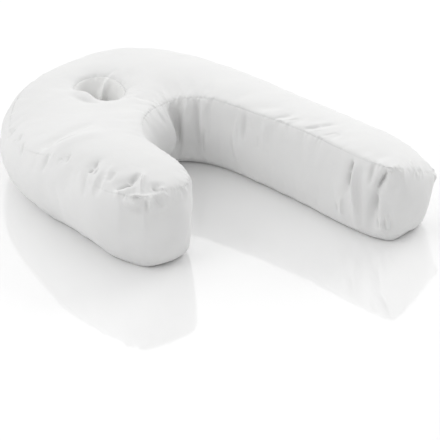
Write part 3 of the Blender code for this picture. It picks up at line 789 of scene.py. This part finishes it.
def filled(mesh, settings):
    """The cloth after the filling has pushed it out. It is cut fuller than its seams, so it gathers there."""
    rest, seam = points_of(mesh), marks_of(mesh, "seam")
    floor = rest[:, 2] < FLOOR_CLEAR / 2
    near = np.exp(-((distance_to(rest, rest[seam > SEWN]) / GATHER_REACH) ** 2))
    fullness = np.where(seam > SEWN, 0, lerp(settings.middle_fullness, 1, near))
    fullness *= share_at(rest, GATHERS, EVEN_GATHER)
    unevenness = np.array([noise.noise(point * UNEVEN_SCALE) for point in map(Vector, rest)])
    unevenness[floor] = 0
    swell = unevenness * settings.unevenness - settings.inset * (1 - seam) * ~floor
    set_points(mesh, rest + normals_of(mesh) * swell[:, None])
    piece = placed("filling", mesh)
    held = np.maximum(floor, np.where(seam > SEWN, settings.seam_hold, 0))
    for name, weights in (("Held", held), ("Loose", np.round(1 - fullness, 2))):
        group = piece.vertex_groups.new(name=name)
        for weight in np.unique(weights):
            if weight > 0:
                group.add(np.nonzero(weights == weight)[0].tolist(), float(weight), "REPLACE")
    cloth = piece.modifiers.new("Filled cloth", "CLOTH")
    cloth.point_cache.frame_start = 1
    cloth.point_cache.frame_end = settings.frames
    tuned = cloth.settings
    tuned.quality = settings.quality
    tuned.mass = CLOTH_MASS
    tuned.tension_stiffness = settings.stiffness
    tuned.compression_stiffness = settings.stiffness
    tuned.shear_stiffness = settings.stiffness * SHEAR_SHARE
    tuned.bending_stiffness = settings.bending
    tuned.use_pressure = True
    tuned.uniform_pressure_force = settings.pressure
    tuned.effector_weights.gravity = 0
    tuned.vertex_group_mass = "Held"
    tuned.vertex_group_shrink = "Loose"
    tuned.shrink_min = -settings.slack
    cloth.collision_settings.use_collision = False
    cloth.collision_settings.use_self_collision = False
    scene = bpy.context.scene
    for step in range(1, settings.frames + 1):
        scene.frame_set(step)
    moved = points_of(evaluated_mesh(piece)) - rest
    scene.frame_set(1)
    far = np.linalg.norm(moved, axis=1)
    capped = rest + moved * (np.minimum(far, settings.cap) / np.maximum(far, 1e-9))[:, None]
    capped[:, 2] = np.maximum(capped[:, 2], 0)
    set_points(mesh, capped)
    return mesh


def roll_seams(mesh):
    """Rolls the cloth over at its top seams, and notes in "shown" how much of a seam's line is left."""
    points, seam = points_of(mesh), marks_of(mesh, "seam")
    share = share_at(points, ROLLS, EVEN_ROLL)
    high = np.clip((points[:, 2] - ROLL_HEIGHTS[0]) / (ROLL_HEIGHTS[1] - ROLL_HEIGHTS[0]), 0, 1)
    shown = lerp(BOTTOM_SHOWN, 1 - (share - EVEN_ROLL) / (1 - EVEN_ROLL), high)
    mesh.attributes.new("shown", "FLOAT", "POINT").data.foreach_set("value", shown)
    near = np.exp(-((distance_to(points, points[seam > SEWN]) / ROLL_REACH) ** 2))
    ends = np.empty(len(mesh.edges) * 2, int)
    mesh.edges.foreach_get("vertices", ends)
    ends = ends.reshape(-1, 2)
    neighbours = np.bincount(ends.ravel(), minlength=len(points))
    for _ in range(ROLL_STEPS):
        for axis in range(3):
            old = points[:, axis]
            total = np.bincount(ends[:, 0], old[ends[:, 1]], len(old))
            total += np.bincount(ends[:, 1], old[ends[:, 0]], len(old))
            points[:, axis] += (total / neighbours - old) * share * near * high / 2
    set_points(mesh, points)


def near_fold(points, normals, fold, reach):
    """The numbers of the points near a fold's line, how far along it each lies, and its distance from it.
    The distance is measured along the cloth, which may have moved a little off the line."""
    start, end = np.array(fold.start), np.array(fold.end)
    low, high = np.minimum(start, end) - reach - OFF_LINE, np.maximum(start, end) + reach + OFF_LINE
    close = np.nonzero(((points > low) & (points < high)).all(axis=1))[0]
    along = end - start
    share = np.clip(((points[close] - start) @ along) / (along @ along), 0, 1)
    apart = points[close] - start - share[:, None] * along
    off = np.sum(apart * normals[close], axis=1)
    along_cloth = np.sum(apart * apart, axis=1) - off * off
    return close, share, np.sqrt(np.maximum(along_cloth, 0) + (OFF_WEIGHT * off) ** 2)


def eased(share):
    """The depth along a fold that stands in the cloth, a little less at both ends."""
    return 1 - FOLD_TAPER * np.abs(2 * share - 1) ** TAPER_POWER


def tapered(share):
    """The depth along a crease, which runs out at both ends."""
    return 1 - CREASE_TAPER * np.abs(2 * share - 1) ** TAPER_POWER


def fading(share):
    """The depth along a pucker, which starts at its seam."""
    return 1 - PUCKER_FADE * share


def press_folds(mesh, layers):
    """Moves the points near each fold's line along their normals. Points on the floor stay flat. Each layer
    is folds and the profile of their depth. The deepest fold of a layer is felt, and the layers add up."""
    points, normals = points_of(mesh), normals_of(mesh)
    pushed = np.zeros(len(points))
    for folds, profile in layers:
        trough, ridge = np.zeros(len(points)), np.zeros(len(points))
        for fold in folds:
            close, share, distance = near_fold(points, normals, fold, fold.width * FOLD_EDGE)
            pressed = fold.depth * profile(share) * np.exp(-((distance / fold.width) ** 2))
            trough[close] = np.maximum(trough[close], pressed)
            ridge[close] = np.minimum(ridge[close], pressed)
        pushed += trough + ridge
    pushed[points[:, 2] < FLOOR_CLEAR] = 0
    set_points(mesh, points - normals * pushed[:, None])


def mark_hollows(mesh, folds):
    """Notes in "hollow", from 0 to 1, how deep in a narrow crease each point lies, for the shade painted
    there.
    """
    points, normals = points_of(mesh), normals_of(mesh)
    hollow = np.zeros(len(points))
    for fold in folds:
        if fold.depth > 0:
            close, share, distance = near_fold(points, normals, fold, fold.width * FOLD_EDGE)
            deep = fold.depth / fold.width * tapered(share) ** 2 * np.exp(-((distance / fold.width) ** 2))
            hollow[close] = np.maximum(hollow[close], deep / FULL_HOLLOW)
    mesh.attributes.new("hollow", "FLOAT", "POINT").data.foreach_set("value", np.clip(hollow, 0, 1))


def puckers(mesh):
    """Short folds that run from a seam into the cloth on either side, more of them where it gathers."""
    chance = Random(PUCKER_SEED)
    bm = opened(mesh)
    surface = BVHTree.FromBMesh(bm)
    mark = bm.verts.layers.float["seam"]
    found = []
    for edge in bm.edges:
        if min(vertex[mark] for vertex in edge.verts) <= SEWN:
            continue
        start = (edge.verts[0].co + edge.verts[1].co) / 2
        along = (edge.verts[1].co - edge.verts[0].co).normalized()
        share = share_at(np.array([start]), GATHERS, EVEN_GATHER)[0]
        for face in edge.link_faces:
            if start.z < FLOOR_CLEAR or chance.random() > share * PUCKER_CHANCE:
                continue
            into = face.calc_center_median() - start
            into = (into - along * into.dot(along)).normalized()
            into += along * chance.uniform(-PUCKER_LEAN, PUCKER_LEAN)
            size = chance.random() ** 2
            end = surface.find_nearest(start + into * lerp(*PUCKER_LENGTHS, size))[0]
            depth = lerp(*PUCKER_DEPTHS, chance.random()) * (PUCKER_LEAST + share)
            if chance.random() < PUCKER_RIDGES:
                depth = -depth
            found.append(Fold("pucker", start, end, lerp(*PUCKER_WIDTHS, size), depth))
    bm.free()
    return found


def finer_near(mesh, folds):
    """Splits the faces close to the folds and eases the new points, so that narrow creases come out round."""
    bm = opened(mesh)
    faces = list(bm.faces)
    centres = np.array([face.calc_center_median() for face in faces])
    facing = np.array([face.normal for face in faces])
    close = np.zeros(len(faces), bool)
    for fold in folds:
        reach = fold.width + FINE_REACH
        numbers, _, distance = near_fold(centres, facing, fold, reach)
        close[numbers[distance < reach]] = True
    edges = {edge for face, chosen in zip(faces, close) if chosen for edge in face.edges}
    before = len(bm.verts)
    bmesh.ops.subdivide_edges(bm, edges=list(edges), cuts=FINE_CUTS, use_grid_fill=True)
    bm.verts.ensure_lookup_table()
    added = [vertex for vertex in bm.verts[before:] if vertex.co.z > FLOOR_CLEAR]
    moving = set(added) | {other for vertex in added for edge in vertex.link_edges for other in edge.verts}
    axes = {"use_axis_x": True, "use_axis_y": True, "use_axis_z": True}
    for _ in range(FINE_SMOOTHING):
        bmesh.ops.smooth_vert(bm, verts=list(moving), factor=FINE_EASE, **axes)
    bm.to_mesh(mesh)
    bm.free()
    mesh.update()
    return mesh


def sink_seams(mesh, depth):
    """Draws the cloth in along the seams."""
    points, normals = points_of(mesh), normals_of(mesh)
    sunk = depth * np.clip(marks_of(mesh, "seam"), 0, 1) ** GROOVE_POWER * marks_of(mesh, "shown")
    set_points(mesh, points - normals * sunk[:, None])


def pillow_mesh(settings):
    """The finished cloth of the whole pillow, with its ear tunnel. It is made once for all the pieces."""
    made = bpy.data.meshes.get("pillow_cloth")
    if made is None:
        mesh = refined(cage_mesh(), 2)
        mesh = filled(mesh, settings)
        made = refined(mesh, 1)
        roll_seams(made)
        gathers = puckers(made)
        narrow = [fold for fold in CREASES if fold.width < NARROW]
        made = finer_near(made, gathers + narrow)
        mark_hollows(made, narrow)
        press_folds(made, ((FOLDS, eased), (gathers, fading), (CREASES, tapered)))
        sink_seams(made, settings.groove)
        made.name = "pillow_cloth"
        made.use_fake_user = True
    return made


def lining_mesh(source, gap):
    """The ear tunnel's own faces, moved off the filling, as an open mesh."""
    bm = opened(source)
    others = [face for face in bm.faces if face.material_index != 1]
    bmesh.ops.delete(bm, geom=others, context="FACES")
    bm.normal_update()
    for vertex in bm.verts:
        vertex.co += vertex.normal * gap
    for face in bm.faces:
        face.material_index = 0
    return closed(bm, "lining")


def seam_lines(source, depth):
    """The four seams of the pillow as loose edges, out of the bottom of their grooves by the depth."""
    bm = opened(source)
    mark = bm.verts.layers.float["seam"]
    for vertex in bm.verts:
        vertex.co += vertex.normal * depth
    plain = [edge for edge in bm.edges if min(vertex[mark] for vertex in edge.verts) <= SEWN]
    bmesh.ops.delete(bm, geom=plain, context="EDGES_FACES")
    bmesh.ops.delete(bm, geom=[vertex for vertex in bm.verts if not vertex.link_edges], context="VERTS")
    return closed(bm, "seam_lines")


def stitch_shape(length, width):
    """One stitch as a low-poly grain along Z."""
    bm = bmesh.new()
    bmesh.ops.create_uvsphere(bm, u_segments=6, v_segments=5, radius=0.5)
    bmesh.ops.scale(bm, vec=(width, width, length), verts=bm.verts)
    return bpy.data.objects.new("stitch", closed(bm, "stitch"))


def stitch_tree():
    """Geometry Nodes that lay a stitch at even steps along lines."""
    tree = bpy.data.node_groups.new("seam_stitches", "GeometryNodeTree")
    kinds = {"Lines": "Geometry", "Pitch": "Float", "Stitch": "Object", "Thread": "Material"}
    for name, kind in kinds.items():
        tree.interface.new_socket(name=name, in_out="INPUT", socket_type="NodeSocket" + kind)
    tree.interface.new_socket(name="Stitches", in_out="OUTPUT", socket_type="NodeSocketGeometry")
    given = node(tree, "NodeGroupInput").outputs
    curve = node(tree, "GeometryNodeMeshToCurve", {"Mesh": given["Lines"]})
    along = {"Curve": curve.outputs["Curve"], "Length": given["Pitch"]}
    places = node(tree, "GeometryNodeCurveToPoints", along, mode="LENGTH").outputs
    shape = node(tree, "GeometryNodeObjectInfo", {"Object": given["Stitch"]})
    each = {
        "Points": places["Points"],
        "Instance": shape.outputs["Geometry"],
        "Rotation": places["Rotation"],
    }
    laid = node(tree, "GeometryNodeInstanceOnPoints", each)
    real = node(tree, "GeometryNodeRealizeInstances", {"Geometry": laid.outputs["Instances"]})
    dress = {"Geometry": real.outputs["Geometry"], "Material": given["Thread"]}
    dressed = node(tree, "GeometryNodeSetMaterial", dress)
    node(tree, "NodeGroupOutput", {"Stitches": dressed.outputs["Geometry"]})
    return tree


# ---- materials ----
def new_material(name):
    """A material with its node tree and its shader node."""
    material = bpy.data.materials.new(name)
    material.use_nodes = True
    tree = material.node_tree
    return material, tree, tree.nodes["Principled BSDF"]


def cotton_percale(name, colour, shade, pitch, seam_shade=0.0, fold_shade=0.0):
    """Cotton percale, a plain weave of fine bleached threads: matt, with a faint soft bloom at its edges."""
    material, tree, shader = new_material(name)
    place = node(tree, "ShaderNodeTexCoord").outputs
    # patches some 60 mm wide where the cloth has been handled
    worn = {"Vector": place["Object"], "Scale": 16.0, "Detail": 3.0, "Roughness": 0.55}
    patches = node(tree, "ShaderNodeTexNoise", worn).outputs["Fac"]
    tones = {"Factor": patches, 6: linear(shade), 7: linear(colour)}
    tone = node(tree, "ShaderNodeMix", tones, data_type="RGBA")
    dull = node(tree, "ShaderNodeMapRange", {"Value": patches, "To Min": 0.88, "To Max": 0.80})
    # threads about 0.35 mm apart, drawn about three times as coarse so that they show
    across = node(tree, "ShaderNodeSeparateXYZ", {"Vector": place["UV"]})
    waves = []
    for axis in ("X", "Y"):
        angle = node(tree, "ShaderNodeMath", {0: across.outputs[axis], 1: pi / pitch}, operation="MULTIPLY")
        waves.append(node(tree, "ShaderNodeMath", {0: angle.outputs[0]}, operation="SINE").outputs[0])
    weave = node(tree, "ShaderNodeMath", dict(enumerate(waves)), operation="MULTIPLY")
    # soft crumples about 12 mm apart, left by washing and filling
    washed = {"Vector": place["Object"], "Scale": 55.0, "Detail": 4.0, "Roughness": 0.5, "Distortion": 0.6}
    crumple = node(tree, "ShaderNodeTexNoise", washed)
    soft = {"Height": crumple.outputs["Fac"], "Distance": 0.0012, "Strength": 0.5}
    low = node(tree, "ShaderNodeBump", soft)
    woven = {"Height": weave.outputs[0], "Distance": 0.00006, "Strength": 0.5}
    fine = node(tree, "ShaderNodeBump", {**woven, "Normal": low.outputs["Normal"]})
    # painted shadow in the gap of a seam, about 1 mm wide, and fainter where the cloth closes over it
    drawn = node(tree, "ShaderNodeTexNoise", {"Vector": place["Object"], "Scale": 9.0, "Detail": 1.0})
    closing = {"From Min": 0.42, "From Max": 0.62, "To Min": 0.1 * seam_shade, "To Max": seam_shade}
    left = node(tree, "ShaderNodeMapRange", {"Value": drawn.outputs["Fac"], **closing}).outputs["Result"]
    shown = node(tree, "ShaderNodeAttribute", attribute_name="shown").outputs["Fac"]
    dark = node(tree, "ShaderNodeMath", {0: left, 1: shown}, operation="MULTIPLY").outputs[0]
    seam = node(tree, "ShaderNodeAttribute", attribute_name="seam").outputs["Fac"]
    edge = {"Value": seam, "From Min": 0.93, "From Max": 0.985, "To Max": dark}
    gap = node(tree, "ShaderNodeMapRange", edge, interpolation_type="SMOOTHSTEP").outputs["Result"]
    # and painted shade at the bottom of a deep crease
    hollow = node(tree, "ShaderNodeAttribute", attribute_name="hollow").outputs["Fac"]
    dusk = node(tree, "ShaderNodeMath", {0: hollow, 1: fold_shade}, operation="MULTIPLY").outputs[0]
    darkest = node(tree, "ShaderNodeMath", {0: gap, 1: dusk}, operation="MAXIMUM").outputs[0]
    # the cloth's colour mixed towards grey where shade is painted: in the gaps of seams and in deep creases
    shadow = {"Factor": darkest, 6: tone.outputs[2], 7: linear("8C8C8A")}
    sewn = node(tree, "ShaderNodeMix", shadow, data_type="RGBA")
    tree.links.new(sewn.outputs[2], shader.inputs["Base Color"])
    tree.links.new(dull.outputs["Result"], shader.inputs["Roughness"])
    tree.links.new(fine.outputs["Normal"], shader.inputs["Normal"])
    shader.inputs["Specular IOR Level"].default_value = 0.3
    shader.inputs["Sheen Weight"].default_value = 0.15
    shader.inputs["Sheen Roughness"].default_value = 0.4
    return material


def polyester_thread():
    """Spun polyester sewing thread: whiter and a little shinier than the cloth."""
    material, tree, shader = new_material("polyester_thread")
    place = node(tree, "ShaderNodeTexCoord").outputs
    # the thread's twist, a turn about every 0.6 mm
    turns = {"Vector": place["Object"], "Scale": 260.0, "Distortion": 1.0}
    twist = node(tree, "ShaderNodeTexWave", turns, bands_direction="DIAGONAL")
    tones = {"Factor": twist.outputs["Fac"], 6: linear("E6E6E6"), 7: linear("F6F6F6")}
    tone = node(tree, "ShaderNodeMix", tones, data_type="RGBA")
    tree.links.new(tone.outputs[2], shader.inputs["Base Color"])
    shader.inputs["Roughness"].default_value = 0.55
    return material


def glossy_acrylic(colour, mirror):
    """Cast acrylic sheet, polished: a clean mirror image over plain white."""
    material, tree, shader = new_material("cast_acrylic_floor")
    tree.nodes.remove(shader)
    white = node(tree, "ShaderNodeBsdfDiffuse", {"Color": linear(colour)})
    gloss = node(tree, "ShaderNodeBsdfGlossy", {"Color": (1, 1, 1, 1), "Roughness": 0.06})
    both = node(tree, "ShaderNodeMixShader", {"Fac": mirror, 1: white.outputs[0], 2: gloss.outputs[0]})
    tree.links.new(both.outputs[0], tree.nodes["Material Output"].inputs["Surface"])
    return material


# ---- operators ----
class PILLOW_OT_body(bpy.types.Operator):
    """Make the filled pillow: both panels and the side band"""

    bl_idname = "pillow.body"
    bl_label = "Pillow Body"

    def execute(self, context):
        settings = context.scene.pillow_cloth
        material = cotton_percale(
            "cotton_percale_shell",
            settings.colour,
            settings.shade,
            settings.thread_pitch,
            settings.seam_shade,
            settings.fold_shade,
        )
        piece = add_piece("pillow_cloth_body", pillow_mesh(settings).copy(), material)
        for polygon in piece.data.polygons:
            polygon.material_index = 0
        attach(piece, "root")
        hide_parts("pillow_body")
        return {"FINISHED"}


class PILLOW_OT_ear_lining(bpy.types.Operator):
    """Make the cloth wall of the ear hole"""

    bl_idname = "pillow.ear_lining"
    bl_label = "Ear Lining"

    def execute(self, context):
        settings, cloth = context.scene.ear_lining, context.scene.pillow_cloth
        colour = settings.colour
        # the lining is the shell's cotton made lighter, which paints light inside the hole
        material = cotton_percale("cotton_percale_lining", colour, colour, cloth.thread_pitch)
        piece = add_piece("ear_lining_cloth", lining_mesh(pillow_mesh(cloth), settings.gap), material)
        wall = piece.modifiers.new("Cloth thickness", "SOLIDIFY")
        wall.thickness = settings.thickness
        wall.offset = 1
        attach(piece, "root")
        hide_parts("ear_tunnel_lining")
        return {"FINISHED"}


class PILLOW_OT_seam_stitches(bpy.types.Operator):
    """Sew the seams between the panels, the side band and the ear lining"""

    bl_idname = "pillow.seam_stitches"
    bl_label = "Seam Stitches"

    def execute(self, context):
        settings, cloth = context.scene.pillow_seams, context.scene.pillow_cloth
        thread = polyester_thread()
        stitch = stitch_shape(settings.length, settings.width)
        lines = placed("lines", seam_lines(pillow_mesh(cloth), settings.width / 4))
        values = {"Pitch": settings.pitch, "Stitch": stitch, "Thread": thread}
        sewing = lines.modifiers.new("Sewing", "NODES")
        sewing.node_group = stitch_tree()
        for socket in sewing.node_group.interface.items_tree:
            if socket.name in values:
                sewing[socket.identifier] = values[socket.name]
        sewn = evaluated_mesh(lines)
        bpy.data.objects.remove(stitch, do_unlink=True)
        if not sewn.polygons:
            raise RuntimeError("the seams have no stitches")
        piece = add_piece("seam_stitches", sewn, thread)
        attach(piece, "root")
        return {"FINISHED"}


# the camera: what it looks at, from which side, how far off, and its lens and sensor width in millimetres
VIEW_TARGET = Vector((-0.08594, -0.1799, 0.06))
VIEW_AZIMUTH = radians(-38.936)
VIEW_ELEVATION = radians(28.066)
VIEW_ROLL = radians(-2.104)
VIEW_DISTANCE = 5.3571
VIEW_LENS = 314.39
SENSOR = 36.0
WALL_EDGE = 0.1          # cosine at which a studio wall's light fades out
BOX_SIZE = 1.4
BOX_AIM = Vector((0, 0, 0.05))
FLOOR_SIZE = 8.0


# ---- the studio ----
def studio_world(walls):
    """A studio lit by its white walls. Each row is a direction and the brightness of the wall that way."""
    world = bpy.data.worlds.new("white_studio")
    world.use_nodes = True
    tree = world.node_tree
    background = tree.nodes["Background"]
    place = node(tree, "ShaderNodeTexCoord")
    total = 0.0
    for direction, brightness in walls:
        ways = {0: place.outputs["Generated"], 1: Vector(direction).normalized()}
        facing = node(tree, "ShaderNodeVectorMath", ways, operation="DOT_PRODUCT")
        glow = {"Value": facing.outputs["Value"], "From Min": WALL_EDGE, "To Max": brightness}
        wall = node(tree, "ShaderNodeMapRange", glow, interpolation_type="SMOOTHSTEP").outputs["Result"]
        total = node(tree, "ShaderNodeMath", {0: total, 1: wall}, operation="ADD").outputs[0]
    tree.links.new(total, background.inputs["Strength"])
    background.inputs["Color"].default_value = (1, 1, 1, 1)
    return world


def soft_box(name, place, power):
    """A square studio light that faces the pillow."""
    light = bpy.data.lights.new(name, "AREA")
    light.shape = "SQUARE"
    light.size = BOX_SIZE
    light.energy = power
    lamp = placed(name, light)
    lamp.location = place
    lamp.rotation_euler = (BOX_AIM - Vector(place)).to_track_quat("-Z", "Y").to_euler()
    return lamp


class PILLOW_OT_studio(bpy.types.Operator):
    """Make the floor, the studio light and the camera"""

    bl_idname = "pillow.studio"
    bl_label = "Studio"

    def execute(self, context):
        scene, settings = context.scene, context.scene.pillow_studio
        bm = bmesh.new()
        bmesh.ops.create_grid(bm, x_segments=1, y_segments=1, size=FLOOR_SIZE)
        acrylic = glossy_acrylic(settings.floor_colour, settings.mirror)
        floor = add_piece("studio_floor", closed(bm, "studio_floor"), acrylic)
        walls = (
            ((0, -1, 0.25), settings.front),
            ((1, -1, 0.35), settings.corner),
            ((0, 1, 0.25), settings.backdrop),
            ((-1, 0, 0.3), settings.side),
            ((0, 0, 1), settings.ceiling),
        )
        scene.world = studio_world(walls)
        right = soft_box("right_box", (2.2, 0.0, 1.3), settings.right)
        left = soft_box("left_box", (-2.0, 0.2, 1.6), settings.left)
        camera = bpy.data.cameras.new("studio_camera")
        camera.sensor_fit = "HORIZONTAL"
        camera.sensor_width = SENSOR
        camera.lens = VIEW_LENS
        camera.clip_end = 50
        eye = placed("studio_camera", camera)
        level = cos(VIEW_ELEVATION)
        back = Vector((sin(VIEW_AZIMUTH) * level, -cos(VIEW_AZIMUTH) * level, sin(VIEW_ELEVATION)))
        turn = back.to_track_quat("Z", "Y").to_matrix().to_4x4() @ Matrix.Rotation(VIEW_ROLL, 4, "Z")
        eye.matrix_world = Matrix.Translation(VIEW_TARGET + back * VIEW_DISTANCE) @ turn
        scene.camera = eye
        scene.view_settings.view_transform = "Standard"
        return {"FINISHED"}


class PILLOW_PT_panel(bpy.types.Panel):
    """Lists what makes the pillow"""

    bl_idname = "PILLOW_PT_panel"
    bl_label = "Body Pillow"
    bl_space_type = "VIEW_3D"
    bl_region_type = "UI"
    bl_category = "Pillow"

    def draw(self, context):
        for operator in OPERATORS:
            self.layout.operator(operator.bl_idname)


SETTINGS = {
    "pillow_cloth": PillowClothSettings,
    "ear_lining": EarLiningSettings,
    "pillow_seams": SeamSettings,
    "pillow_studio": StudioSettings,
}
OPERATORS = (PILLOW_OT_body, PILLOW_OT_ear_lining, PILLOW_OT_seam_stitches, PILLOW_OT_studio)


def register():
    for group in SETTINGS.values():
        bpy.utils.register_class(group)
    for name, group in SETTINGS.items():
        setattr(bpy.types.Scene, name, PointerProperty(type=group))
    for operator in OPERATORS:
        bpy.utils.register_class(operator)
    bpy.utils.register_class(PILLOW_PT_panel)


def unregister():
    bpy.utils.unregister_class(PILLOW_PT_panel)
    for operator in reversed(OPERATORS):
        bpy.utils.unregister_class(operator)
    for name in SETTINGS:
        delattr(bpy.types.Scene, name)
    for group in SETTINGS.values():
        bpy.utils.unregister_class(group)


def main():
    register()
    bpy.ops.pillow.body()
    bpy.ops.pillow.ear_lining()
    bpy.ops.pillow.seam_stitches()
    bpy.ops.pillow.studio()


if __name__ == "__main__":
    main()
